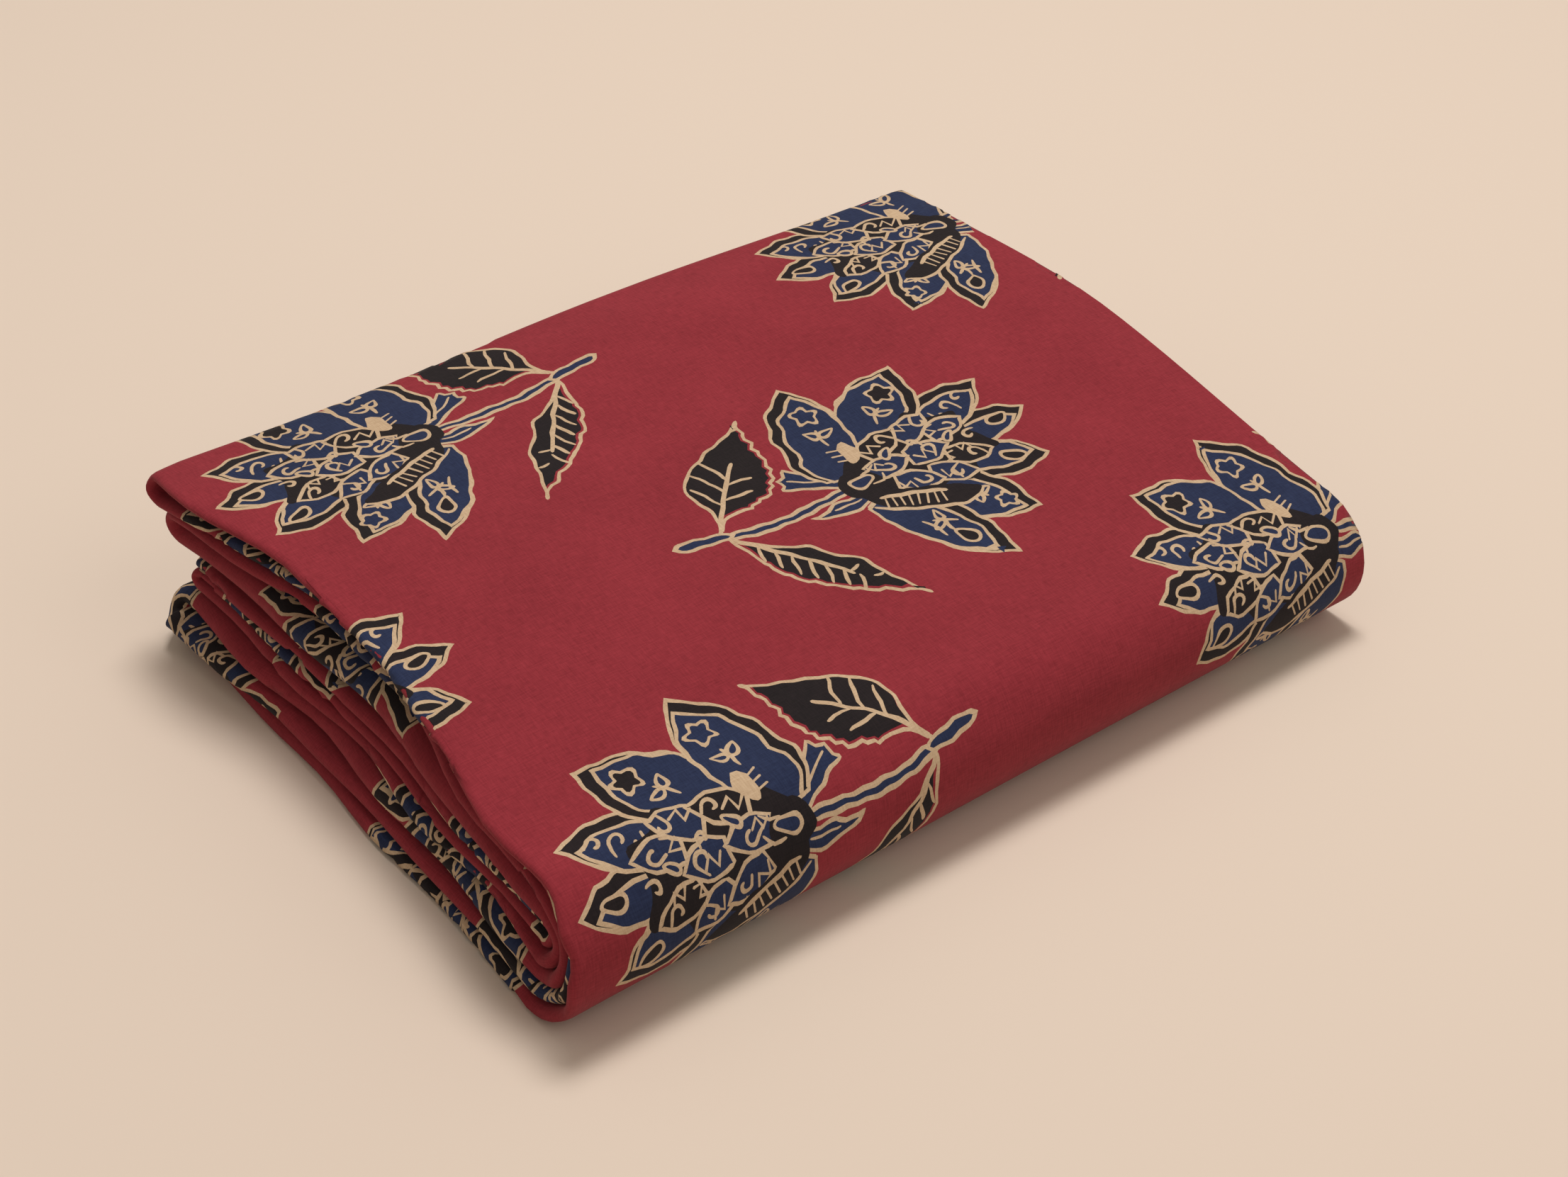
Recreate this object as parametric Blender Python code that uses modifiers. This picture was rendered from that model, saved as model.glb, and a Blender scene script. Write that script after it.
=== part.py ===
"""A length of block-printed cotton, folded in four along its length into a soft band.

The band is laid back and forth in ten layers and the whole is turned once round its
front edge, so that the layers lie as five bands nested inside each other. The cloth is
one piece, and so is its solid. Metres, +Z up: +X runs along the front fold, +Y runs to
the open back, and the origin is under the middle of the packet, on the surface.
"""

import math
from collections import namedtuple

import bmesh
import bpy

# Driving sizes. The packet's length is a quarter of the cloth's width and a little more,
# because the layers don't lie quite in line.
MILLIMETRE = 0.001
PACKET_LENGTH = 0.302
PACKET_DEPTH = 0.230
FRONT_HEIGHT = 0.0445
BACK_HEIGHT = 0.0655
BAND_THICKNESS = 0.003

# How the front fold and the stack lean: the shares by which the heights grow or shrink
# from the left end to the right end, and how far back the front fold's right end lies.
FRONT_LEAN = -0.13
BACK_LEAN = 0.088
FRONT_SKEW = 0.007

# The front turns are nested round one axis: how far each one lies inside the outer one,
# in millimetres.
OUTER_RING_RADIUS = (FRONT_HEIGHT - BAND_THICKNESS) / 2
RING_INSIDE = {1: 0.0, 2: 4.35, 3: 8.55, 4: 13.55, 5: 17.75}

# The layers in the order in which the cloth runs through them, from its end on the
# surface to its end in the middle of the stack. side is +1 above the front turns' axis
# and -1 below it. All sizes are in millimetres: the height of the layer's middle at the
# back, how far it stops short of the back, and how far its left rim and its right rim
# are set in at the back, in the middle and at the front.
Layer = namedtuple(
    "Layer",
    "name ring side back_height back_in left_back left_middle left_front right_back right_middle right_front",
)
LAYERS = [
    Layer("bottom_1", 1, -1, 1.5, 3.0, 5.0, 3.5, 1.5, 10.0, 4.0, 3.5),
    Layer("top_1", 1, +1, 64.0, 0.0, 3.0, 13.0, 4.5, 8.0, 0.0, 0.5),
    Layer("top_2", 2, +1, 54.5, 0.5, 3.5, 19.0, 7.0, 9.0, 2.0, 2.5),
    Layer("bottom_2", 2, -1, 8.5, 1.0, 0.0, 5.0, 3.0, 9.5, 3.0, 4.0),
    Layer("bottom_3", 3, -1, 16.0, 1.5, 5.0, 7.5, 4.5, 11.0, 5.0, 5.5),
    Layer("top_3", 3, +1, 50.0, 4.0, 5.0, 17.0, 6.0, 10.0, 3.0, 3.5),
    Layer("top_4", 4, +1, 40.5, 4.5, 7.0, 12.0, 6.0, 12.0, 4.5, 5.5),
    Layer("bottom_4", 4, -1, 22.5, 8.0, 8.5, 9.0, 6.0, 9.0, 2.5, 4.0),
    Layer("bottom_5", 5, -1, 26.5, 8.0, 9.5, 10.5, 7.0, 11.0, 5.0, 6.0),
    Layer("top_5", 5, +1, 30.5, 10.0, 9.0, 11.5, 7.0, 10.5, 4.0, 4.5),
]

# Waves of the stack: the share of its height by which it rises and falls, the number of
# waves along and across the packet, and the share of a wave by which they start late.
# The left rims wave inwards too, by RIM_WAVE.
WAVE_SHARE = 0.022
WAVE_START = 0.15
WAVES_ALONG = 1.4
WAVES_ACROSS = 1.1
RIM_WAVE = 0.0016
RIM_WAVES = 2.6

# The top's back edge and its two side rims hang down a little over these stretches.
SHOULDER_LENGTH = 0.022
SHOULDER_DROP = 0.0015
RIM_LENGTH = 0.016
RIM_DROP = 0.0012

# How finely the band is divided.
STEPS_ALONG_LAYER = 10
BACK_TURN_STEPS = 5
RING_STEPS = {1: 10, 2: 9, 3: 8, 4: 7, 5: 6}
RIM_STEP = 0.0022
STEPS_ACROSS = 12
RIM_THICKNESS_SHARE = 0.35

AXIS_Y = -PACKET_DEPTH / 2 + BAND_THICKNESS / 2 + OUTER_RING_RADIUS
AXIS_Z = FRONT_HEIGHT / 2
BACK_Y = PACKET_DEPTH / 2 - BAND_THICKNESS / 2


def soft_step(share):
    """A smooth rise from 0 to 1 as share runs from 0 to 1."""
    share = min(max(share, 0.0), 1.0)
    return share * share * (3 - 2 * share)


def ring_radius(ring):
    return OUTER_RING_RADIUS - RING_INSIDE[ring] * MILLIMETRE


def set_in(front, middle, back, share):
    """How far a rim is set in, at a share of the way from front to back."""
    if share < 0.5:
        return (front + (middle - front) * soft_step(2 * share)) * MILLIMETRE
    return (middle + (back - middle) * soft_step(2 * share - 1)) * MILLIMETRE


def rims(layer, share):
    """How far the layer's left and right rims are set in."""
    left = set_in(layer.left_front, layer.left_middle, layer.left_back, share)
    right = set_in(layer.right_front, layer.right_middle, layer.right_back, share)
    return left, right


def rims_between(first, second, layer_share, turn_share):
    """The rims on the turn from one layer to another, at the front (0) or the back (1)."""
    ends = zip(rims(first, layer_share), rims(second, layer_share))
    return tuple(start + (end - start) * turn_share for start, end in ends)


def layer_point(layer, share):
    """The middle of a layer, from the front turns' axis (0) to its back end (1)."""
    back_y = BACK_Y - layer.back_in * MILLIMETRE
    front_z = AXIS_Z + layer.side * ring_radius(layer.ring)
    back_z = layer.back_height * MILLIMETRE
    y = AXIS_Y + (back_y - AXIS_Y) * share
    rise = math.sin(share * math.pi / 2)
    return y, front_z + (back_z - front_z) * rise


def turn_radius(first, second):
    """The radius of the turn between two layers that meet at the back."""
    return abs(first.back_height - second.back_height) / 2 * MILLIMETRE


def along_layer(layer, towards_back, left_free):
    """Stations on one layer, each with its y and z and how far its two rims are set in.

    left_free is the stretch at the back that belongs to the turn to the next layer.
    """
    length = BACK_Y - layer.back_in * MILLIMETRE - AXIS_Y
    last = 1 - left_free / length
    stations = []
    for step in range(STEPS_ALONG_LAYER + 1):
        share = last * step / STEPS_ALONG_LAYER
        stations.append(layer_point(layer, share) + rims(layer, share))
    return stations if towards_back else stations[::-1]


def round_front(first, second):
    """Stations of the turn that joins two layers of one ring round the front."""
    radius = ring_radius(first.ring)
    steps = RING_STEPS[first.ring]
    stations = []
    for step in range(1, steps):
        share = step / steps
        angle = math.pi * share
        y = AXIS_Y - radius * math.sin(angle)
        z = AXIS_Z + first.side * radius * math.cos(angle)
        stations.append((y, z) + rims_between(first, second, 0, share))
    return stations


def round_back(first, second):
    """Stations of the turn that joins two neighbouring layers at the back."""
    radius = turn_radius(first, second)
    y_first, z_first = layer_point(first, 1.0)
    y_second, z_second = layer_point(second, 1.0)
    stations = []
    for step in range(1, BACK_TURN_STEPS):
        share = step / BACK_TURN_STEPS
        angle = math.pi * share
        y = (y_first + (y_second - y_first) * share) - radius + radius * math.sin(angle)
        z = (z_first + z_second) / 2 + (z_first - z_second) / 2 * math.cos(angle)
        stations.append((y, z) + rims_between(first, second, 1, share))
    return stations


def band_stations():
    """Every station of the band, in the order in which the cloth runs."""
    stations = []
    for index, layer in enumerate(LAYERS):
        towards_back = index % 2 == 1
        is_end = index in (0, len(LAYERS) - 1)
        partner = None
        if not is_end:
            partner = LAYERS[index + 1] if towards_back else LAYERS[index - 1]
        left_free = 0.0 if is_end else turn_radius(layer, partner)
        stations += along_layer(layer, towards_back, left_free)
        if index + 1 < len(LAYERS):
            following = LAYERS[index + 1]
            stations += round_back(layer, following) if towards_back else round_front(layer, following)
    return stations


def settled(x, y, z):
    """Skew, lean, waves and drooping edges of the stack; the lowest layer stays flat."""
    along = x / PACKET_LENGTH
    back = min(max((y - AXIS_Y) / (BACK_Y - AXIS_Y), 0.0), 1.0)
    height = max(z - BAND_THICKNESS / 2, 0.0)
    lean = FRONT_LEAN + (BACK_LEAN - FRONT_LEAN) * back
    wave = math.sin(2 * math.pi * (WAVES_ALONG * along + WAVE_START))
    wave *= math.cos(2 * math.pi * WAVES_ACROSS * back)
    shoulder = SHOULDER_DROP * soft_step((y - BACK_Y) / SHOULDER_LENGTH + 1)
    rim = RIM_DROP * soft_step((abs(x) - PACKET_LENGTH / 2) / RIM_LENGTH + 1)
    drop = (shoulder + rim) * height / BACK_HEIGHT
    skewed_y = y + FRONT_SKEW * (along + 0.5) * (1 - back)
    return x, skewed_y, BAND_THICKNESS / 2 + height * (1 + lean * along + WAVE_SHARE * wave) - drop


def across_shares(width):
    """Shares of the way from the left rim to the right rim, closer together at the rims."""
    rim = RIM_STEP / width
    inner = [rim + (1 - 2 * rim) * step / (STEPS_ACROSS - 2) for step in range(STEPS_ACROSS - 1)]
    return [0.0] + inner + [1.0]


def make_cotton():
    material = bpy.data.materials.new("madder_red_cotton")
    material.use_nodes = True
    shader = material.node_tree.nodes["Principled BSDF"]
    shader.inputs["Base Color"].default_value = (0.26, 0.035, 0.05, 1.0)
    shader.inputs["Roughness"].default_value = 0.85
    shader.inputs["Metallic"].default_value = 0.0
    return material


def make_folded_cloth(collection):
    """The band's middle sheet as a grid carried along its folds, thickened to a solid."""
    stations = band_stations()
    shares = across_shares(PACKET_LENGTH)
    mesh = bpy.data.meshes.new("folded_cloth")
    grid = bmesh.new()
    bmesh.ops.create_grid(grid, x_segments=len(shares) - 1, y_segments=len(stations) - 1, size=1.0)
    grid.verts.ensure_lookup_table()
    weights = []
    for index, vertex in enumerate(grid.verts):
        row, column = divmod(index, len(shares))
        y, z, left, right = stations[row]
        wave = (1 - math.cos(2 * math.pi * (RIM_WAVES * y / PACKET_DEPTH + z / BACK_HEIGHT))) / 2
        low = -PACKET_LENGTH / 2 + left + RIM_WAVE * wave * soft_step(left / RIM_WAVE)
        high = PACKET_LENGTH / 2 - right
        x = low + (high - low) * shares[column]
        vertex.co = settled(x, y, z)
        weights.append(RIM_THICKNESS_SHARE if column in (0, len(shares) - 1) else 1.0)
    grid.to_mesh(mesh)
    grid.free()
    mesh.shade_smooth()

    cloth = bpy.data.objects.new("folded_cloth", mesh)
    collection.objects.link(cloth)
    fullness = cloth.vertex_groups.new(name="fullness")
    for index, weight in enumerate(weights):
        fullness.add([index], weight, "REPLACE")
    thicken = cloth.modifiers.new("Band thickness", "SOLIDIFY")
    thicken.thickness = BAND_THICKNESS
    thicken.offset = 0.0
    thicken.use_even_offset = True
    thicken.vertex_group = fullness.name
    cloth.data.materials.append(make_cotton())
    return cloth


for existing in list(bpy.data.objects):
    bpy.data.objects.remove(existing, do_unlink=True)
packet = bpy.data.collections.new("folded_ajrakh_cloth")
bpy.context.scene.collection.children.link(packet)
make_folded_cloth(packet)
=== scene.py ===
import math
from collections import namedtuple

import bpy
import numpy as np
from mathutils import Matrix, Vector
from mathutils.geometry import delaunay_2d_cdt


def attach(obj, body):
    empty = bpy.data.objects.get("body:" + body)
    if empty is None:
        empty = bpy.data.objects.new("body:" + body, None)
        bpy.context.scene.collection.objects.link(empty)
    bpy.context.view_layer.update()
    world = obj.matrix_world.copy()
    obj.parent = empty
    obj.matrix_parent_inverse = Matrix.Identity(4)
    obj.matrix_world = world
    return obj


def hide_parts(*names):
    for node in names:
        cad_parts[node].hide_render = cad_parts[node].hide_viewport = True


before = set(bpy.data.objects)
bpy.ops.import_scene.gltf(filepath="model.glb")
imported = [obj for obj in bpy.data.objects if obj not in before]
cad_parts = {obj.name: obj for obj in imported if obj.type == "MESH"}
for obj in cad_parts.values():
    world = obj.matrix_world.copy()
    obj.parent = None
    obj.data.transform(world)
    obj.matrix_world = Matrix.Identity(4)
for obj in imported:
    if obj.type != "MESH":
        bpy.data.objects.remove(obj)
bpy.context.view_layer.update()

# Folded cloth
# About 4.5 m of cotton, 1.16 m wide, resist and block printed by hand in red, black and
# blue: one thin sheet, folded in four across its width, doubled end to end and laid back
# and forth in ten layers, with the print cut into it as faces of four colours.

# The packet's sizes and its table of layers, in millimetres. The cloth runs through the
# layers in this order; every other one runs towards the back. plump is how far the band
# swells to each side of its middle, where its neighbours leave it the room.
MILLIMETRE = 0.001
PACKET_LENGTH = 302.0
PACKET_DEPTH = 230.0
FRONT_HEIGHT = 44.5
BACK_HEIGHT = 65.5
BAND_THICKNESS = 3.0
OUTER_RING_RADIUS = (FRONT_HEIGHT - BAND_THICKNESS) / 2
RING_INSIDE = {1: 0.0, 2: 4.35, 3: 8.55, 4: 13.55, 5: 17.75}
AXIS_Y = -PACKET_DEPTH / 2 + BAND_THICKNESS / 2 + OUTER_RING_RADIUS
AXIS_Z = FRONT_HEIGHT / 2
BACK_Y = PACKET_DEPTH / 2 - BAND_THICKNESS / 2

Layer = namedtuple(
    "Layer",
    "name ring side back_height back_in left_back left_middle left_front"
    " right_back right_middle right_front plump",
)
LAYERS = [
    Layer("bottom_1", 1, -1, 1.5, 3.0, 5.0, 3.5, 1.5, 10.0, 4.0, 3.5, 3.4),
    Layer("top_1", 1, +1, 64.0, 0.0, 3.0, 13.0, 4.5, 8.0, 0.0, 0.5, 1.6),
    Layer("top_2", 2, +1, 54.5, 0.5, 3.5, 19.0, 7.0, 9.0, 2.0, 2.5, 2.0),
    Layer("bottom_2", 2, -1, 8.5, 1.0, 0.0, 5.0, 3.0, 9.5, 3.0, 4.0, 3.3),
    Layer("bottom_3", 3, -1, 16.0, 1.5, 5.0, 7.5, 4.5, 11.0, 5.0, 5.5, 3.6),
    Layer("top_3", 3, +1, 50.0, 4.0, 5.0, 17.0, 6.0, 10.0, 3.0, 3.5, 2.1),
    Layer("top_4", 4, +1, 40.5, 4.5, 7.0, 12.0, 6.0, 12.0, 4.5, 5.5, 4.6),
    Layer("bottom_4", 4, -1, 22.5, 8.0, 8.5, 9.0, 6.0, 9.0, 2.5, 4.0, 2.2),
    Layer("bottom_5", 5, -1, 26.5, 8.0, 9.5, 10.5, 7.0, 11.0, 5.0, 6.0, 1.9),
    Layer("top_5", 5, +1, 30.5, 10.0, 9.0, 11.5, 7.0, 10.5, 4.0, 4.5, 2.3),
]
STACK = sorted(LAYERS, key=lambda layer: layer.back_height)

# Two bands that touch share the room between them, less a thin gap; on the surface and
# on top the band is only as thick as the solid.
FULLNESS = 0.94
OUTER_ROOM = 1.45
SAMPLES_ALONG_LAYER = 100
SAMPLES_ROUND_TURN = 40


def soft_step(share):
    """A smooth rise from 0 to 1 as share runs from 0 to 1."""
    share = np.clip(share, 0.0, 1.0)
    return share * share * (3 - 2 * share)


def ring_radius(ring):
    return OUTER_RING_RADIUS - RING_INSIDE[ring]


def layer_height(layer, share):
    """The height of a layer's middle, from the front turns' axis (0) to its back end (1)."""
    front = AXIS_Z + layer.side * ring_radius(layer.ring)
    return front + (layer.back_height - front) * math.sin(share * math.pi / 2)


def set_in(front, middle, back, share):
    """How far a rim is set in, at a share of the way from front to back."""
    return front + (middle - front) * soft_step(2 * share) + (back - middle) * soft_step(2 * share - 1)


def room(layer, share, direction):
    """How thick the band is from its middle upwards (+1) or downwards (-1)."""
    place = STACK.index(layer) + direction
    if not 0 <= place < len(STACK):
        return OUTER_ROOM
    neighbour = STACK[place]
    between = abs(layer_height(neighbour, share) - layer_height(layer, share)) * FULLNESS
    return min(layer.plump, between * layer.plump / (layer.plump + neighbour.plump))


def layer_sample(layer, share):
    """One sample on a layer: y, z, left rim, right rim, room on the face and behind it."""
    face_up = LAYERS.index(layer) % 2 == 1
    y = AXIS_Y + (BACK_Y - layer.back_in - AXIS_Y) * share
    left = set_in(layer.left_front, layer.left_middle, layer.left_back, share)
    right = set_in(layer.right_front, layer.right_middle, layer.right_back, share)
    face = room(layer, share, +1 if face_up else -1)
    behind = room(layer, share, -1 if face_up else +1)
    return [y, layer_height(layer, share), left, right, face, behind]


def turn_radius(first, second):
    """The radius of the turn between two layers that meet at the back."""
    return abs(first.back_height - second.back_height) / 2


def layer_samples(index):
    """The samples on one layer, in the order in which the cloth runs."""
    layer = LAYERS[index]
    last = 1.0
    if 0 < index < len(LAYERS) - 1:
        partner = LAYERS[index + 1] if index % 2 == 1 else LAYERS[index - 1]
        last -= turn_radius(layer, partner) / (BACK_Y - layer.back_in - AXIS_Y)
    shares = np.linspace(0.0, last, SAMPLES_ALONG_LAYER)
    samples = [layer_sample(layer, share) for share in shares]
    return samples if index % 2 == 1 else samples[::-1]


def turn_samples(index):
    """The samples of the turn from one layer to the next, at the front or at the back."""
    first, second = LAYERS[index], LAYERS[index + 1]
    at_back = index % 2 == 1
    start = layer_samples(index)[-1]
    end = layer_samples(index + 1)[0]
    samples = []
    for share in np.linspace(0.0, 1.0, SAMPLES_ROUND_TURN + 2)[1:-1]:
        sample = [a + (b - a) * share for a, b in zip(start, end)]
        angle = math.pi * share
        if at_back:
            radius = turn_radius(first, second)
            back_in = first.back_in + (second.back_in - first.back_in) * share
            sample[0] = BACK_Y - back_in - radius + radius * math.sin(angle)
            middle = (first.back_height + second.back_height) / 2
            sample[1] = middle + (first.back_height - second.back_height) / 2 * math.cos(angle)
        else:
            sample[0] = AXIS_Y - ring_radius(first.ring) * math.sin(angle)
            sample[1] = AXIS_Z + first.side * ring_radius(first.ring) * math.cos(angle)
        samples.append(sample)
    return samples


# The band's middle line from its end on the surface to its end in the stack, with the
# length along it at which each layer starts and ends.
samples = []
layer_rows = {}
for index, layer in enumerate(LAYERS):
    first_row = len(samples)
    samples += layer_samples(index)
    layer_rows[layer.name] = (first_row, len(samples) - 1)
    if index + 1 < len(LAYERS):
        samples += turn_samples(index)
band_y, band_z, band_left, band_right, band_face, band_behind = np.array(samples).T
steps = np.hypot(np.diff(band_y), np.diff(band_z))
band_length = np.concatenate([[0.0], np.cumsum(steps)])
slope_y = np.gradient(band_y, band_length)
slope_z = np.gradient(band_z, band_length)
layer_span = {name: (band_length[a], band_length[b]) for name, (a, b) in layer_rows.items()}
CLOTH_HALF = band_length[-1]

# Leans, skew, waves and drooping edges of the whole stack, as in the solid.
FRONT_LEAN = -0.13
BACK_LEAN = 0.088
FRONT_SKEW = 7.0
WAVE_SHARE = 0.022
WAVE_START = 0.15
WAVES_ALONG = 1.4
WAVES_ACROSS = 1.1
RIM_WAVE = 1.6
RIM_WAVES = 2.6
SHOULDER_LENGTH = 22.0
SHOULDER_DROP = 1.5
RIM_LENGTH = 16.0
RIM_DROP = 1.2

# Small unevennesses of the left rims: how far, and over what lengths along the rim and
# up the stack, they come and go, inwards (ripples) and up and down (flutter). A rim that
# is set in by less than RIPPLE_ROOM ripples less. The flutter fades away from the rim over
# FLUTTER_REACH, and comes in with the height, from FLUTTER_START over FLUTTER_RISE.
RIM_RIPPLES = ((0.7, 83.0, 17.0), (0.3, 53.0, -11.0))
RIPPLE_ROOM = 3.0
RIM_FLUTTER = ((0.3, 71.0, 60.0), (0.1, 47.0, 41.0))
FLUTTER_REACH = 13.0
FLUTTER_START = 3.0
FLUTTER_RISE = 9.0

# The main creases and soft swellings: where each one lies, which way it runs, how long
# and how wide it is, and how far it rises (or sinks, if negative), in millimetres.
Crease = namedtuple("Crease", "x y degrees length width rise")
CREASES = [
    Crease(-62, 30, 88, 120, 8.0, -0.40),
    Crease(22, 60, 91, 90, 7.0, -0.30),
    Crease(70, -30, 86, 110, 8.0, -0.35),
    Crease(-10, -62, 3, 190, 9.0, -0.40),
    Crease(60, 38, 176, 120, 9.0, -0.30),
    Crease(-100, -40, 60, 70, 14.0, 0.70),
    Crease(95, -55, 150, 80, 16.0, 0.60),
    Crease(-40, 75, 20, 110, 18.0, 0.60),
]


def ripple(rows, y, z):
    """The sum of a few long and short waves."""
    return sum(size * np.sin(2 * np.pi * (y / along + z / upwards)) for size, along, upwards in rows)


def settled(x, y, z):
    """Points after the skew, the lean, the waves, the drooping edges and the creases."""
    along = x / PACKET_LENGTH
    back = np.clip((y - AXIS_Y) / (BACK_Y - AXIS_Y), 0.0, 1.0)
    base = np.minimum(z, BAND_THICKNESS / 2)
    height = z - base
    lean = FRONT_LEAN + (BACK_LEAN - FRONT_LEAN) * back
    wave = np.sin(2 * np.pi * (WAVES_ALONG * along + WAVE_START))
    wave *= np.cos(2 * np.pi * WAVES_ACROSS * back)
    shoulder = SHOULDER_DROP * soft_step((y - BACK_Y) / SHOULDER_LENGTH + 1)
    rim = RIM_DROP * soft_step((np.abs(x) - PACKET_LENGTH / 2) / RIM_LENGTH + 1)
    share = height / BACK_HEIGHT
    result = base + height * (1 + lean * along + WAVE_SHARE * wave) - (shoulder + rim) * share
    for crease in CREASES:
        angle = math.radians(crease.degrees)
        run = (x - crease.x) * math.cos(angle) + (y - crease.y) * math.sin(angle)
        side = (y - crease.y) * math.cos(angle) - (x - crease.x) * math.sin(angle)
        near = np.exp(-((side / crease.width) ** 2)) * np.exp(-((run / crease.length * 2) ** 4))
        result += crease.rise * near * share**2
    return np.column_stack([x, y + FRONT_SKEW * (along + 0.5) * (1 - back), result])


# The folding in four across the width: two left folds, one right fold between them, and
# both selvedges on the right. Levels are shares of the band's room, outwards from its
# middle, for the outer sheet and for the one doubled inside it; the fold between them
# takes END_FOLD to each side. POINTED is how much further the left folds reach out than a
# round one would. MIDDLE_INSET is about how far the layers' left rims are set in on
# average. SELVEDGE_IN is how far the two selvedges lie inside the right rim; they don't
# turn, which UNTURNED stands for.
QUARTER = 290.0
MIDDLE_INSET = 6.0
OUTER_LEVELS = (1.0, 1 / 7)
DOUBLED_LEVELS = (5 / 7, 3 / 7)
END_FOLD = 1.5
SELVEDGE_IN = (1.5, 4.0)
UNTURNED = 0.01
POINTED = 1.35


def rims_at(s):
    """The band's left and right rims, at a place along the cloth."""
    y, z, left, right = (
        np.interp(np.abs(s), band_length, column) for column in (band_y, band_z, band_left, band_right)
    )
    wave = (1 - np.cos(2 * np.pi * (RIM_WAVES * y / PACKET_DEPTH + z / BACK_HEIGHT))) / 2
    waved = left + RIM_WAVE * wave * soft_step(left / RIM_WAVE)
    rippled = waved + ripple(RIM_RIPPLES, y, z) * soft_step(left / RIPPLE_ROOM)
    return -PACKET_LENGTH / 2 + rippled, PACKET_LENGTH / 2 - right


def fold_lines(s):
    """Where the two edges and the three folds lie across the flat cloth.

    The folds wander along the cloth, so that what is printed on the top lies straight.
    """
    low, high = rims_at(s)
    first = QUARTER + low + PACKET_LENGTH / 2 - MIDDLE_INSET
    return [0 * s, first, first + high - low, first + 2 * (high - low), 4 * QUARTER + 0 * s]


def across_flat(w, s):
    """The place across the flat cloth, where w counts a full quarter from fold to fold."""
    lines = fold_lines(s)
    result = 0 * w
    for ply in range(4):
        here = (w >= ply * QUARTER) & (w <= (ply + 1) * QUARTER)
        share = w / QUARTER - ply
        result = np.where(here, lines[ply] + (lines[ply + 1] - lines[ply]) * share, result)
    return result


def across_folded(w, s):
    """The other way round: a place across the flat cloth, counted in full quarters."""
    lines = fold_lines(s)
    result = w.copy()
    for ply in range(4):
        here = (w >= lines[ply]) & (w <= lines[ply + 1])
        share = (w - lines[ply]) / (lines[ply + 1] - lines[ply])
        result = np.where(here, (ply + share) * QUARTER, result)
    return result


def cloth_point(w, s):
    """Where a point lies: w across the folded cloth, s along it from the doubling fold."""
    length = np.abs(s)
    y, z, face, behind, step_y, step_z = (
        np.interp(length, band_length, column)
        for column in (band_y, band_z, band_face, band_behind, slope_y, slope_z)
    )
    low, high = rims_at(s)

    doubled = soft_step(0.5 - s / (2 * END_FOLD))
    wide = OUTER_LEVELS[0] + (DOUBLED_LEVELS[0] - OUTER_LEVELS[0]) * doubled
    tight = OUTER_LEVELS[1] + (DOUBLED_LEVELS[1] - OUTER_LEVELS[1]) * doubled
    first_half = w < 2 * QUARTER
    level = np.where(first_half, wide, tight)
    on_face = (w > QUARTER) & (w < 3 * QUARTER)
    thick = np.where(on_face, face, behind)

    # The left folds turn round one middle, so that they lie inside each other.
    from_left = np.where(first_half, np.abs(w - QUARTER), np.abs(w - 3 * QUARTER))
    full_radius = (face + behind) / 2
    left_radius = level * full_radius
    left_reach = left_radius * POINTED
    low = low + full_radius * POINTED - left_reach
    left_arc = np.hypot(left_radius, left_reach) / math.sqrt(2) * np.pi / 2
    left_turn = np.clip(from_left / left_arc, 0.0, 1.0) * np.pi / 2
    right_radius = np.where(on_face, face * (wide - tight) / 2, UNTURNED)
    right_arc = right_radius * np.pi / 2
    from_right = QUARTER - from_left
    right_turn = np.clip(from_right / right_radius, 0.0, np.pi / 2)

    edge_in = np.where(w < QUARTER, SELVEDGE_IN[0], SELVEDGE_IN[1])
    end = high - np.where(on_face, 0.0, edge_in)
    stretch = (end - right_radius - low - left_reach) / (QUARTER - left_arc - right_arc)
    x_left = low + left_reach * (1 - np.cos(left_turn)) + stretch * np.maximum(from_left - left_arc, 0.0)
    x_right = end - right_radius * (1 - np.cos(right_turn))
    x_right -= stretch * np.maximum(from_right - right_arc, 0.0)
    nearer_left = from_left < QUARTER / 2
    x = np.where(nearer_left, x_left, x_right)

    middle = (wide + tight) / 2
    raised = np.where(first_half, 1.0, -1.0) * (wide - tight) / 2 * np.sin(right_turn)
    n_left = np.where(on_face, 1.0, -1.0) * level * np.sin(left_turn)
    n_right = np.where(on_face, middle + raised, -level)
    n = np.where(nearer_left, n_left, n_right) * thick

    steep = np.hypot(step_y, step_z)
    flutter = ripple(RIM_FLUTTER, y, z) * np.exp(-from_left / FLUTTER_REACH)
    flutter *= soft_step((z - FLUTTER_START) / FLUTTER_RISE)
    y = y - n * step_z / steep
    z = z + n * step_y / steep + flutter
    return settled(x, y, z)


# The block: one sprig, in millimetres about the flower's neck, with the flower towards
# +x. It is cut as shapes that lie on each other, each in one dye. Undyed shapes are where
# the resist paste kept every dye off. LINE is a drawn line's width, and LINE_END the share
# of its width by which it thins, and runs on, at its ends. CURVE_STEP is about the length
# of the straight pieces of a curve.
MADDER, UNDYED, INDIGO, BLACK = range(4)
LINE = 1.15
LINE_END = 0.35
CURVE_STEP = 1.6


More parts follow.
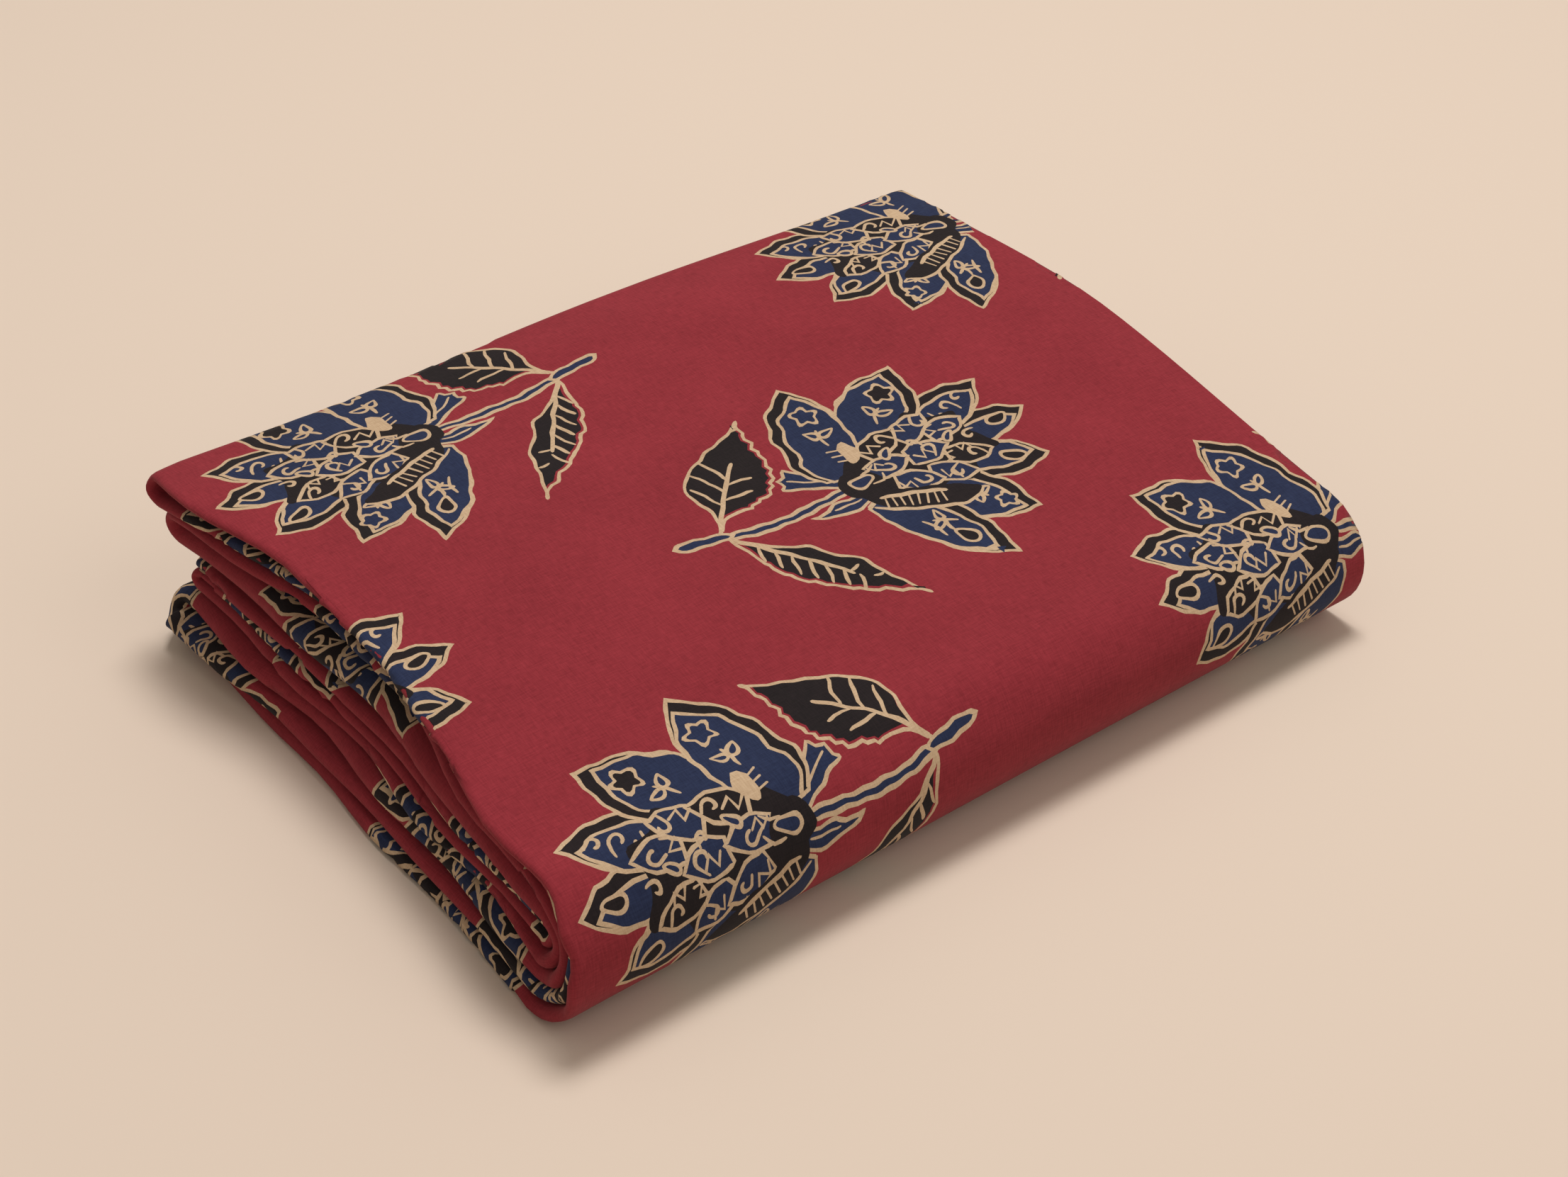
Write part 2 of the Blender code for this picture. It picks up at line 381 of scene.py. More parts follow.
def soft_curve(points, closed=False):
    """A smooth line through a few points."""
    points = np.array(points, float)
    count = len(points)
    result = []
    for i in range(count if closed else count - 1):
        if closed:
            p, q, r, t = (points[(i + k) % count] for k in (-1, 0, 1, 2))
        else:
            p, q, r, t = (points[min(max(i + k, 0), count - 1)] for k in (-1, 0, 1, 2))
        pieces = max(2, int(np.hypot(*(r - q)) / CURVE_STEP))
        for share in np.arange(pieces) / pieces:
            bend = (2 * p - 5 * q + 4 * r - t) * share**2 + (3 * q - p - 3 * r + t) * share**3
            result.append(q + (r - p) * share / 2 + bend / 2)
    if not closed:
        result.append(points[-1])
    return np.array(result)


def stroke(points, width=LINE, sharp=False):
    """The shape of a drawn line, a little thinner at both ends."""
    line = np.array(points, float) if sharp else soft_curve(points)
    ahead = np.gradient(line, axis=0)
    ahead /= np.hypot(ahead[:, 0], ahead[:, 1])[:, None]
    across = np.column_stack([-ahead[:, 1], ahead[:, 0]])
    share = np.linspace(-1, 1, len(line))[:, None]
    half = width / 2 * (1 - LINE_END * share**4)
    tip = line[-1] + ahead[-1] * width * LINE_END
    tail = line[0] - ahead[0] * width * LINE_END
    return np.vstack([tail, line - across * half, tip, (line + across * half)[::-1]])


def drawn_in(outline, distance, shift=(0.0, 0.0)):
    """An outline drawn in by a distance and shifted; the outline runs anticlockwise."""
    ahead = np.roll(outline, -1, axis=0) - np.roll(outline, 1, axis=0)
    ahead /= np.maximum(np.hypot(ahead[:, 0], ahead[:, 1]), 1e-6)[:, None]
    return outline + np.column_stack([-ahead[:, 1], ahead[:, 0]]) * distance + np.array(shift)


def placed(points, origin, degrees, size=1.0):
    """Points turned about zero, sized and moved to an origin."""
    angle = math.radians(degrees)
    turn = np.array([[math.cos(angle), math.sin(angle)], [-math.sin(angle), math.cos(angle)]])
    return np.array(points, float) @ turn * size + np.array(origin, float)


TOOTHED = (0.15, 0.92)


def blade(base, tip, half_widths, teeth=0, tooth=0.0):
    """A petal or leaf outline, from its half widths at even steps from base to tip.

    They are given for its right and left side. Teeth go on the right one, over the
    stretch TOOTHED.
    """
    base, tip = np.array(base, float), np.array(tip, float)
    length = np.hypot(*(tip - base))
    degrees = math.degrees(math.atan2(*(tip - base)[::-1]))
    right, left = half_widths
    side_right = [(length * i / len(right), -h) for i, h in enumerate(right)]
    side_left = [(length * i / len(left), h) for i, h in enumerate(left)]
    down = soft_curve(side_right + [(length, 0.0)])
    up = soft_curve([(length, 0.0)] + side_left[::-1])
    if teeth:
        share = down[:, 0] / length
        down[:, 1] -= tooth * (share * teeth % 1.0) * (share > TOOTHED[0]) * (share < TOOTHED[1])
    return placed(np.vstack([down[:-1], up]), base, degrees)


def blossom(x, y, radius, fill):
    """A tiny five-petalled flower drawn in one line."""
    turn = np.linspace(0, 2 * np.pi, 30, endpoint=False)
    reach = radius * (1 + 0.20 * np.cos(5 * turn))
    ring = np.column_stack([np.cos(turn) * reach, np.sin(turn) * reach])
    return [(UNDYED, ring + (x, y)), (fill, ring * (1 - LINE / radius) + (x, y))]


def eye(x, y, length, width, degrees, fill):
    """A drop-shaped ring."""
    turn = np.linspace(0, 2 * np.pi, 22, endpoint=False)
    drop = np.column_stack([length * np.cos(turn), width * np.sin(turn) * (1.0 - 0.35 * np.cos(turn))])
    inner = drop * (1 - LINE / np.array([length, width]) * 0.95)
    return [(UNDYED, placed(drop, (x, y), degrees)), (fill, placed(inner, (x, y), degrees))]


def hook(x, y, size, degrees, sweep=230):
    """A curl with a short straight tail."""
    angles = np.radians(np.linspace(0, sweep, 7))
    curl = [(math.cos(a) * (1 - 0.06 * i), math.sin(a) * (1 - 0.06 * i)) for i, a in enumerate(angles)]
    points = placed([(1.0, -1.6)] + curl, (x, y), degrees, size)
    return [(UNDYED, stroke(points))]


def zigzag(x, y, size, degrees, bends=4):
    """A short line bent to and fro."""
    points = [(i * 1.0, 0.8 * (-1) ** i) for i in range(bends)]
    return [(UNDYED, stroke(placed(points, (x, y), degrees, size), sharp=True))]


def leaflets(x, y, size, degrees, fill):
    """Two small leaves on a short stalk, under a blossom."""
    shapes = [(UNDYED, stroke(placed([(-2.6, 0.0), (0.0, 0.2), (2.2, 0.0)], (x, y), degrees, size)))]
    for turn in (+52, -58):
        centre = placed([(1.9, 0.0)], (0, 0), degrees + turn, size)[0] + (x, y)
        shapes += eye(*centre, 1.9 * size, 1.15 * size, degrees + turn, fill)
    return shapes


PETAL_RIGHT = (0.50, 0.80, 0.96, 1.00, 0.97, 0.95, 0.78, 0.44)
PETAL_LEFT = (0.46, 0.88, 1.04, 0.95, 1.04, 0.90, 0.80, 0.38)
Petal = namedtuple("Petal", "base tip half shade")
PETALS = [
    Petal((40, 1), (73, 2), 7.5, +1),
    Petal((32, 9), (68, 21), 9.5, +1),
    Petal((34, -7), (65, -20), 9.0, -1),
    Petal((15, 9), (49, 42), 13.5, -1),
    Petal((17, -8), (47, -38), 11.0, +1),
    Petal((2, 4), (12, 52), 12.5, +1),
    Petal((5, -8), (27, -51), 10.0, +1),
]
SHADE = 1.8
SHADE_GAP = 0.7


def petal(row):
    """A pointed petal: undyed line, black shade along one side and the tip, indigo inside."""
    widths = [[share * row.half for share in side] for side in (PETAL_RIGHT, PETAL_LEFT)]
    outline = blade(row.base, row.tip, widths)
    axis = np.array(row.tip, float) - np.array(row.base, float)
    away = np.array([axis[1], -axis[0]]) / np.hypot(*axis) * row.shade * SHADE
    back = -axis / np.hypot(*axis) * SHADE
    return [
        (UNDYED, outline),
        (BLACK, drawn_in(outline, LINE)),
        (UNDYED, drawn_in(outline, LINE + SHADE_GAP, away + back)),
        (INDIGO, drawn_in(outline, 2 * LINE + SHADE_GAP, away + back)),
    ]


SCALE_RIGHT = (0.7, 0.95, 1.0, 0.75)
SCALE_LEFT = (0.6, 1.0, 0.95, 0.7)
Scale = namedtuple("Scale", "base tip half fill")
SCALES = [
    Scale((37, 7), (53, 9), 5.0, INDIGO),
    Scale((36, -4), (52, -9), 5.0, BLACK),
    Scale((28, 10), (43, 17), 5.5, INDIGO),
    Scale((27, -7), (41, -15), 5.0, INDIGO),
    Scale((25, 2), (41, 1), 5.5, INDIGO),
    Scale((14, 9), (31, 16), 5.5, BLACK),
    Scale((15, -5), (30, -12), 5.0, INDIGO),
    Scale((10, 2), (27, 3), 5.0, INDIGO),
]


def scale(row):
    """One of the small blunt petals that overlap in the flower's heart."""
    widths = [[share * row.half for share in side] for side in (SCALE_RIGHT, SCALE_LEFT)]
    outline = blade(row.base, row.tip, widths)
    return [(UNDYED, outline), (row.fill, drawn_in(outline, LINE))]


# The two leaves' half widths on the right and left side, from base to tip. The black block
# lies LEAF_GAP inside the undyed line, shifted by LEAF_SHIFT. A leaf's veins leave its rib
# VEIN_START beside the middle; VEINS_RIGHT and VEINS_LEFT are how far along it they lie at
# their bend and at their end, as shares of their reach, and VEIN_BEND is how far out.
LEAF_GAP = 0.35
LEAF_SHIFT = 0.45
RIB_WIDTH = 1.5
POINT_WIDTH = 1.4
VEIN_START = 0.4
VEIN_BEND = 0.6
VEINS_RIGHT = (0.45, 0.7)
VEINS_LEFT = (0.4, 0.6)
LEAF_BROAD = ((0.8, 2.2, 8.5, 12.6, 13.0, 11.2, 7.5, 3.0), (0.8, 2.8, 10.5, 13.0, 12.0, 9.6, 6.4, 2.6))
LEAF_LONG = ((0.8, 4.0, 7.8, 9.2, 8.8, 7.4, 5.0, 2.2), (0.8, 1.4, 3.4, 6.8, 6.0, 7.2, 4.4, 2.2))


def leaf(base, tip, widths, teeth, tooth, veins_right, veins_left):
    """A black leaf in an undyed line, with red showing where the blocks don't quite meet."""
    outline = blade(base, tip, widths, teeth, tooth)
    base, tip = np.array(base, float), np.array(tip, float)
    length = np.hypot(*(tip - base))
    degrees = math.degrees(math.atan2(*(tip - base)[::-1]))
    shapes = [(UNDYED, outline), (MADDER, drawn_in(outline, LINE))]
    shift = placed([(0.0, LEAF_SHIFT)], (0, 0), degrees)[0]
    shapes.append((BLACK, drawn_in(outline, LINE + LEAF_GAP, shift)))
    rib = [(-2.0, 0.0), (length * 0.3, 0.4), (length * 0.62, -0.3)]
    shapes.append((UNDYED, stroke(placed(rib, base, degrees), RIB_WIDTH)))
    for veins, side, (bend, end) in ((veins_right, -1, VEINS_RIGHT), (veins_left, +1, VEINS_LEFT)):
        for along, reach in veins:
            vein = [
                (length * along, side * VEIN_START),
                (length * along + reach * bend, side * reach * VEIN_BEND),
                (length * along + reach * end, side * reach),
            ]
            shapes.append((UNDYED, stroke(placed(vein, base, degrees))))

    # An undyed point, where the leaf is too narrow for the black to lie well inside it.
    point = [(length - 3.0, 0.0), (length - 1.5, 0.0), (length + 0.4, 0.0)]
    shapes.append((UNDYED, stroke(placed(point, base, degrees), POINT_WIDTH)))
    return shapes


def sepal(outline, middle):
    """A small indigo leaf at the neck, with an undyed line along its middle."""
    outline = soft_curve(outline, closed=True)
    return [(UNDYED, outline), (INDIGO, drawn_in(outline, LINE)), (UNDYED, stroke(middle, 0.8))]


def sprig():
    """Every shape of the block, from the lowest to the uppermost."""
    shapes = [(UNDYED, stroke([(-46, 1), (-30, -2), (-14, -1.5), (0, 0)], 4.4))]
    shapes.append((INDIGO, stroke([(-45, 1), (-30, -2), (-14, -1.5), (0, 0)], 1.6)))
    broad_veins_right = [(0.28, 8.0), (0.42, 6.5)]
    broad_veins_left = [(0.22, 10.0), (0.34, 11.5), (0.47, 10.0)]
    shapes += leaf((-44, 4), (-9, 45), LEAF_BROAD, 13, 1.8, broad_veins_right, broad_veins_left)
    long_veins_right = [(0.14 + 0.085 * i, 6.9 - 0.45 * abs(i - 3)) for i in range(7)]
    shapes += leaf((-44, -1), (-8, -50), LEAF_LONG, 9, 0.9, long_veins_right, [(0.60, 3.4), (0.72, 3.0)])
    shapes.append((UNDYED, stroke([(-60, 3.4), (-52, 2.2), (-43, 1.0)], 4.8)))
    shapes.append((INDIGO, stroke([(-58.5, 3.2), (-52, 2.2), (-44, 1.2)], 2.5)))
    ribbon = [
        (2, 6), (-5, 12), (-11, 18), (-13, 15.5), (-16, 15), (-15.5, 11.5), (-17, 9.5), (-8, 5),
        (0, 1),
    ]
    shapes += sepal(ribbon, [(-1, 5), (-7, 9), (-13, 13)])
    leafy = [
        (5, -3), (-2, -3.5), (-8, -3), (-11, -5), (-18, -5.5), (-13, -8.5), (-9, -9), (-3, -10.5),
        (4, -8),
    ]
    shapes += sepal(leafy, [(1, -6), (-4, -6.5), (-9, -6)])
    for row in PETALS:
        shapes += petal(row)

    # Ornaments inside the petals.
    shapes += blossom(11, 36, 4.4, INDIGO) + leaflets(9, 24.5, 1.6, 80, INDIGO)
    shapes += blossom(38, 32, 4.6, BLACK) + leaflets(30.5, 24, 1.6, 48, INDIGO)
    shapes += blossom(39, -30, 3.6, INDIGO) + leaflets(33, -23, 1.4, -50, INDIGO)
    shapes += eye(18, -36.5, 4.4, 3.0, 118, BLACK) + leaflets(16, -27.5, 1.5, 150, INDIGO)
    shapes.append((UNDYED, stroke([(16.2, -32.5), (15.6, -30), (16.2, -27.5)])))
    shapes.append((UNDYED, stroke([(12.5, -33), (12.2, -29), (10.4, -25)])))
    shapes += eye(61.5, 1.8, 4.4, 2.6, 5, BLACK) + eye(54.5, -15, 4.8, 2.6, -28, BLACK)
    shapes += hook(52, 15.5, 2.3, 10) + hook(58, 17.5, 1.9, 60) + hook(47, 12.5, 1.9, 190)

    # Between the petals the ground is black; small petals overlap in the flower's heart.
    heart = [
        (2, 4), (9, 12), (14, 11), (22, 17), (29, 15), (38, 20), (43, 14), (52, 12), (50, 3),
        (54, -8), (44, -10), (38, -17), (29, -14), (21, -17), (14, -11), (6, -10), (2, -4),
    ]
    shapes.append((BLACK, soft_curve(heart[::-1], closed=True)))
    for row in SCALES:
        shapes += scale(row)

    # The filigree over the heart: curls and bent lines that hang together.
    for x, y, size, degrees in (
        (46, 8, 2.1, 250), (39, 14, 2.0, 150), (45, -7, 2.1, 20), (35, -11.5, 2.0, 110),
        (34, 2.5, 2.2, 320), (24, 13.5, 2.2, 40), (24, -9, 2.0, 200), (18, 2, 2.1, 230),
        (49, 1, 1.7, 80), (31, 7, 1.7, 15),
    ):
        shapes += hook(x, y, size, degrees)
    for x, y, size, degrees in (
        (15, 10.5, 2.2, 20), (30, 13.5, 2.0, 25), (39, 6, 1.9, 75), (28, 0.5, 2.0, 5),
        (15, -7, 1.9, -25), (30, -10, 1.9, -30), (41, -2.5, 1.8, -15), (20, -13.5, 1.8, -10),
        (12, 3.5, 1.6, 10), (36, -6.5, 1.6, 60),
    ):
        shapes += zigzag(x, y, size, degrees)
    shapes += eye(43, 3.5, 3.0, 1.9, 30, INDIGO) + eye(21, 7.5, 3.2, 2.0, 35, INDIGO)

    # The comb on its black ground between the neck and the last petal, the patch with
    # teeth at the first one, the bud at the neck, and the neck.
    ground = [(2, -5), (14, -9), (26, -14), (36, -21), (28, -24.5), (16, -20), (6, -14)]
    shapes.append((BLACK, soft_curve(ground[::-1], closed=True)))
    shapes.append((UNDYED, stroke([(2.5, -12), (8, -16.2), (17, -20.8), (28, -25), (36, -22)], 1.3)))
    shapes.append((UNDYED, stroke([(6, -8.5), (15, -11.5), (26, -16.5)], 1.6)))
    for i in range(8):
        foot = np.array([7.4 + 2.4 * i, -9.0 - 1.05 * i])
        shapes.append((UNDYED, stroke([foot, foot + (-1.8, -4.6)], 1.0, sharp=True)))
    shapes.append((UNDYED, soft_curve([(10, 9), (15, 13), (13, 20), (9.5, 17)], closed=True)))
    for i in range(3):
        shapes.append((UNDYED, stroke([(10.5, 11 + 2.6 * i), (6.2, 12.6 + 2.6 * i)], 1.0, sharp=True)))
    neck = [(-2, 0), (2, -6), (10, -5.5), (13, -1), (10, 5), (2, 6)]
    shapes.append((BLACK, soft_curve(neck, closed=True)))
    shapes += eye(6.5, 0.5, 4.8, 3.0, 12, INDIGO)
    shapes.append((UNDYED, stroke([(9, -2.5), (12.5, -2.0), (14.5, 0.5)], 1.0)))
    shapes.append((UNDYED, stroke([(8, 3.2), (11.5, 3.6), (14, 5.6)], 1.0)))
    return shapes


# The rows of sprigs on the cloth. Every other row is the block turned over, left for
# right. FIRST_ROW is the row in the middle of the top. The rows are slightly askew, and
# bowed by ROW_BOW one repeat away from that row's middle.
SPRIG_REPEAT = 208.0
ROW_PITCH = 95.0
FIRST_ROW = layer_span["top_1"][0] + 76.0
ROW_SLANT = 0.02
ROW_BOW = 6.0
STEM_LENGTH = 59.0
NECK = 394.1 + STEM_LENGTH
TURNED_NECK = 425.8 - STEM_LENGTH
WOBBLE = 0.22


def all_shapes():
    """The shapes of every sprig on the outer sheet, in the flat cloth's millimetres."""
    block = sprig()
    found = []
    first = math.floor((-60 - FIRST_ROW) / ROW_PITCH)
    last = math.ceil((CLOTH_HALF + 60 - FIRST_ROW) / ROW_PITCH)
    for row in range(first, last + 1):
        turned = row % 2 == 1
        for column in range(-2, 2):
            w = (TURNED_NECK if turned else NECK) + column * SPRIG_REPEAT
            s = FIRST_ROW + row * ROW_PITCH + ROW_SLANT * (w - NECK)
            s += ROW_BOW * ((w - NECK) / SPRIG_REPEAT) ** 2
            for dye, shape in block:
                points = shape * (-1.0, 1.0) if turned else shape
                points = points + (w, s)
                bend = np.sin(points[:, ::-1] * 0.9) + np.sin(points * 0.61 + points[:, ::-1] * 0.37)
                points = points + bend * WOBBLE
                points[:, 0] = across_folded(points[:, 0], points[:, 1])
                found.append((dye, points))
    return found


def cut_off(points, low, high):
    """A shape cut off at the four edges of a window."""
    for axis in (0, 1):
        for edge, sign in ((low[axis], 1.0), (high[axis], -1.0)):
            inside = (points[:, axis] - edge) * sign >= 0
            if inside.all():
                continue
            if not inside.any():
                return points[:0]
            kept = []
            for i in range(len(points)):
                p, q = points[i - 1], points[i]
                if inside[i - 1] != inside[i]:
                    kept.append(p + (q - p) * (edge - p[axis]) / (q[axis] - p[axis]))
                if inside[i]:
                    kept.append(q)
            points = np.array(kept)
    return points


def covers(outline, spots):
    """Which spots lie inside an outline, by how often it turns round each of them.

    Loops that run against the outline's own sense, at tips drawn in too far, don't count.
    """
    ends = np.roll(outline, -1, axis=0)
    run, rise = (ends - outline).T
    start_over = outline[:, 1] > spots[:, 1:]
    end_over = ends[:, 1] > spots[:, 1:]
    side = run * (spots[:, 1:] - outline[:, 1]) - (spots[:, :1] - outline[:, 0]) * rise
    upwards = ~start_over & end_over & (side > 0)
    downwards = start_over & ~end_over & (side < 0)
    sense = np.sign((outline[:, 0] * ends[:, 1] - ends[:, 0] * outline[:, 1]).sum())
    return (upwards.sum(axis=1) - downwards.sum(axis=1)) * sense > 0


# How far a border may lie off a straight line, in millimetres, and still be drawn straight,
# and how close together two spots may lie before they become one.
HARDLY = 0.05
SAME_SPOT = 1e-4


def divided(points, edges):
    """Spots and triangles between points, with every edge kept."""
    made = delaunay_2d_cdt([Vector(p) for p in points], edges, [], 0, SAME_SPOT, False)
    return np.array([tuple(p) for p in made[0]]), np.array(made[2])


def dyes_over(printed, spots, corners):
    """The dye of each triangle: that of the uppermost shape over its middle."""
    centres = spots[corners].mean(axis=1)
    found = np.full(len(corners), MADDER)
    for dye, outline in printed:
        found[covers(outline, centres)] = dye
    return found


def dye_borders(spots, corners, dye_of, size):
    """The lines where two dyes meet, without the spots at which they hardly bend."""
    sides = np.sort(corners[:, [0, 1, 1, 2, 2, 0]].reshape(-1, 2), axis=1)
    order = np.lexsort(sides.T)
    paired = (sides[order[1:]] == sides[order[:-1]]).all(axis=1)
    first, second = order[:-1][paired], order[1:][paired]
    borders = sides[first[dye_of[first // 3] != dye_of[second // 3]]]
    beside = {}
    for a, b in borders.tolist():
        beside.setdefault(a, set()).add(b)
        beside.setdefault(b, set()).add(a)
    inside = ((spots > HARDLY) & (spots < size - HARDLY)).all(axis=1)
    for spot in list(beside):
        if len(beside[spot]) != 2 or not inside[spot]:
            continue
        a, b = beside[spot]
        run = spots[b] - spots[a]
        off = spots[spot] - spots[a]
        if b not in beside[a] and abs(run[0] * off[1] - run[1] * off[0]) < HARDLY * np.hypot(*run):
            for end, other in ((a, b), (b, a)):
                beside[end].remove(spot)
                beside[end].add(other)
            del beside[spot]
    return [(a, b) for a in beside for b in beside[a] if a < b]


# The flat cloth is divided by lines across it and along it, closer together at the folds.
WRAP_END = layer_span["top_2"][0] + 16
LEFT_LIP = (QUARTER - 15, QUARTER + 16)
RIGHT_LIP = (2 * QUARTER - 14, 2 * QUARTER + 12)
LAYER_STEP = 11.0
FRONT_STEPS = 18
BACK_STEPS = 11


def spaced(*stretches):
    """Places along a line, from rows of start, end and widest step."""
    places = [np.linspace(a, b, math.ceil((b - a) / step), endpoint=False) for a, b, step in stretches]
    return np.append(np.concatenate(places), stretches[-1][1])


def lines_along():
    """Places along one sheet, closer together round the turns."""
    stretches = []
    for index, layer in enumerate(LAYERS):
        start, end = layer_span[layer.name]
        stretches.append((start, end, LAYER_STEP))
        if index + 1 < len(LAYERS):
            following = layer_span[LAYERS[index + 1].name][0]
            count = BACK_STEPS if index % 2 == 1 else FRONT_STEPS
            stretches.append((end, following, (following - end) / (count - 0.5)))
    return spaced(*stretches)


across = spaced(
    (0, LEFT_LIP[0], 30),
    (LEFT_LIP[0], QUARTER - 6, 3),
    (QUARTER - 6, QUARTER + 6, 1.0),
    (QUARTER + 6, LEFT_LIP[1], 5),
    (LEFT_LIP[1], RIGHT_LIP[0], 12),
    (RIGHT_LIP[0], 2 * QUARTER - 4, 5),
    (2 * QUARTER - 4, 2 * QUARTER + 4, 1.0),
    (2 * QUARTER + 4, RIGHT_LIP[1], 4),
    (RIGHT_LIP[1], 3 * QUARTER - 4, 35),
    (3 * QUARTER - 4, 3 * QUARTER + 4, 1.6),
    (3 * QUARTER + 4, 4 * QUARTER, 35),
)

# The sheet doubled inside has the same places along it as the outer one, so that its flat
# faces run beside the outer ones and don't come through them.
outer_along = lines_along()
along = np.concatenate([-outer_along[:0:-1], outer_along])

# The tiles of the flat cloth that can be seen, in which the print is cut: the wrap round
# the packet, the left and right folds of the other layers, and the turns at the back.
# Each is a range of the lines across and along.
TILE_ROWS = 8
TILE_COLUMNS = 12


def line_range(lines, low, high):
    return int(np.abs(lines - low).argmin()), int(np.abs(lines - high).argmin())


def tiles_in(low, high):
    """A window as tiles of a few lines each."""
    first_w, last_w = line_range(across, low[0], high[0])
    first_s, last_s = line_range(along, low[1], high[1])
    tiles = []
    for i in range(first_w, last_w, TILE_COLUMNS):
        for j in range(first_s, last_s, TILE_ROWS):
            tiles.append((i, min(i + TILE_COLUMNS, last_w), j, min(j + TILE_ROWS, last_s)))
    return tiles


tiles = tiles_in((LEFT_LIP[0], 0.0), (RIGHT_LIP[1], WRAP_END))
tiles += tiles_in((LEFT_LIP[0], WRAP_END), (LEFT_LIP[1], CLOTH_HALF))
tiles += tiles_in((RIGHT_LIP[0], WRAP_END), (RIGHT_LIP[1], CLOTH_HALF))
for before, after in (("bottom_2", "bottom_3"), ("bottom_4", "bottom_5")):
    turn = (layer_span[before][1] - 8, layer_span[after][0] + 8)
    tiles += tiles_in((0.0, turn[0]), (LEFT_LIP[0], turn[1]))
turn = (layer_span["top_3"][1] - 8, layer_span["top_4"][0] + 8)
tiles += tiles_in((LEFT_LIP[1], turn[0]), (RIGHT_LIP[0], turn[1]))

# Cells outside the tiles are plain squares; inside them the shapes of the print are cut
# into the cloth, each triangle in the dye of the uppermost shape over it.
grid_points = np.column_stack([np.repeat(across, len(along)), np.tile(along, len(across))])
cells = np.ones((len(across) - 1, len(along) - 1), bool)
for i, i_end, j, j_end in tiles:
    cells[i:i_end, j:j_end] = False
column, row = np.nonzero(cells)
corner = column * len(along) + row
squares = np.column_stack([corner, corner + len(along), corner + len(along) + 1, corner + 1])

shapes = all_shapes()
shape_low = np.array([points.min(axis=0) for _, points in shapes])
shape_high = np.array([points.max(axis=0) for _, points in shapes])
all_points = [grid_points]
triangles = []
triangle_dyes = []
count = len(grid_points)
for i, i_end, j, j_end in tiles:
    low = np.array([across[i], along[j]])
    high = np.array([across[i_end], along[j_end]])
    tile_w, tile_s = np.meshgrid(across[i : i_end + 1], along[j : j_end + 1])
    lattice = np.column_stack([tile_w.ravel(), tile_s.ravel()]) - low
    points = [lattice]
    edges = []
    printed = []
    start = len(points[0])
    near = ((shape_low < high) & (shape_high > low)).all(axis=1)
    for number in np.nonzero(near)[0]:
        dye, outline = shapes[number]
        cut = cut_off(outline, low, high)
        if len(cut) < 3:
            continue
        edges += [(start + k, start + (k + 1) % len(cut)) for k in range(len(cut))]
        printed.append((dye, cut - low))
        points.append(cut - low)
        start += len(cut)
    spots, corners = divided(np.vstack(points), edges)
    borders = dye_borders(spots, corners, dyes_over(printed, spots, corners), high - low)
    if borders:
        used, ends = np.unique(borders, return_inverse=True)
        ends = ends.reshape(-1, 2) + len(lattice)
        spots, corners = divided(np.vstack([lattice, spots[used]]), ends.tolist())
    else:
        spots, corners = divided(lattice, [])
    all_points.append(spots + low)
    triangles.append(corners + count)
    triangle_dyes.append(dyes_over(printed, spots, corners))
    count += len(spots)

# Points that tiles and cells share become one.
MERGE = 0.01
keys = np.round(np.vstack(all_points) / MERGE).astype(np.int64)
_, kept, merged = np.unique(keys, axis=0, return_index=True, return_inverse=True)
merged = merged.ravel()
flat = np.vstack(all_points)[kept]
triangles = merged[np.vstack(triangles)]
whole = (np.diff(np.sort(triangles, axis=1), axis=1) > 0).all(axis=1)
triangles = triangles[whole]
dyes = np.concatenate([np.full(len(squares), MADDER), np.concatenate(triangle_dyes)[whole]])
faces = merged[squares].tolist() + triangles.tolist()

w, s = flat.T
NUDGE = 0.05
place = cloth_point(w, s)
ahead = cloth_point(w, s + NUDGE) - cloth_point(w, s - NUDGE)
aside = cloth_point(w + NUDGE, s) - cloth_point(w - NUDGE, s)
facing = np.cross(aside, ahead)
facing /= np.maximum(np.linalg.norm(facing, axis=1), 1e-9)[:, None]

mesh = bpy.data.meshes.new("folded_cloth_sheet")
mesh.from_pydata((place * MILLIMETRE).tolist(), [], faces)
mesh.polygons.foreach_set("material_index", dyes.astype(np.int32))
layer_uv = mesh.uv_layers.new(name="cloth")
corner_vertex = np.zeros(len(mesh.loops), np.int32)
mesh.loops.foreach_get("vertex_index", corner_vertex)
flat_cloth = np.column_stack([across_flat(w, s), s]) * MILLIMETRE
layer_uv.data.foreach_set("uv", flat_cloth[corner_vertex].astype(np.float32).ravel())
mesh.shade_smooth()
mesh.normals_split_custom_set_from_vertices(facing.tolist())
cloth = bpy.data.objects.new("folded_cloth_sheet", mesh)
bpy.context.scene.collection.objects.link(cloth)


def linear(hex_colour):
    """An sRGB hex colour as linear RGBA."""
    channels = [int(hex_colour[i : i + 2], 16) / 255 for i in (1, 3, 5)]
    return [c / 12.92 if c <= 0.04045 else ((c + 0.055) / 1.055) ** 2.4 for c in channels] + [1.0]


def add_node(tree, kind, settings=(), links=()):
    """A node with its settings and with its inputs linked from other nodes' outputs."""
    made = tree.nodes.new(kind)
    for name, value in dict(settings).items():
        if isinstance(name, int) or name in made.inputs:
            made.inputs[name].default_value = value
        else:
            setattr(made, name, value)
    for name, output in dict(links).items():
        tree.links.new(output, made.inputs[name])
    return made


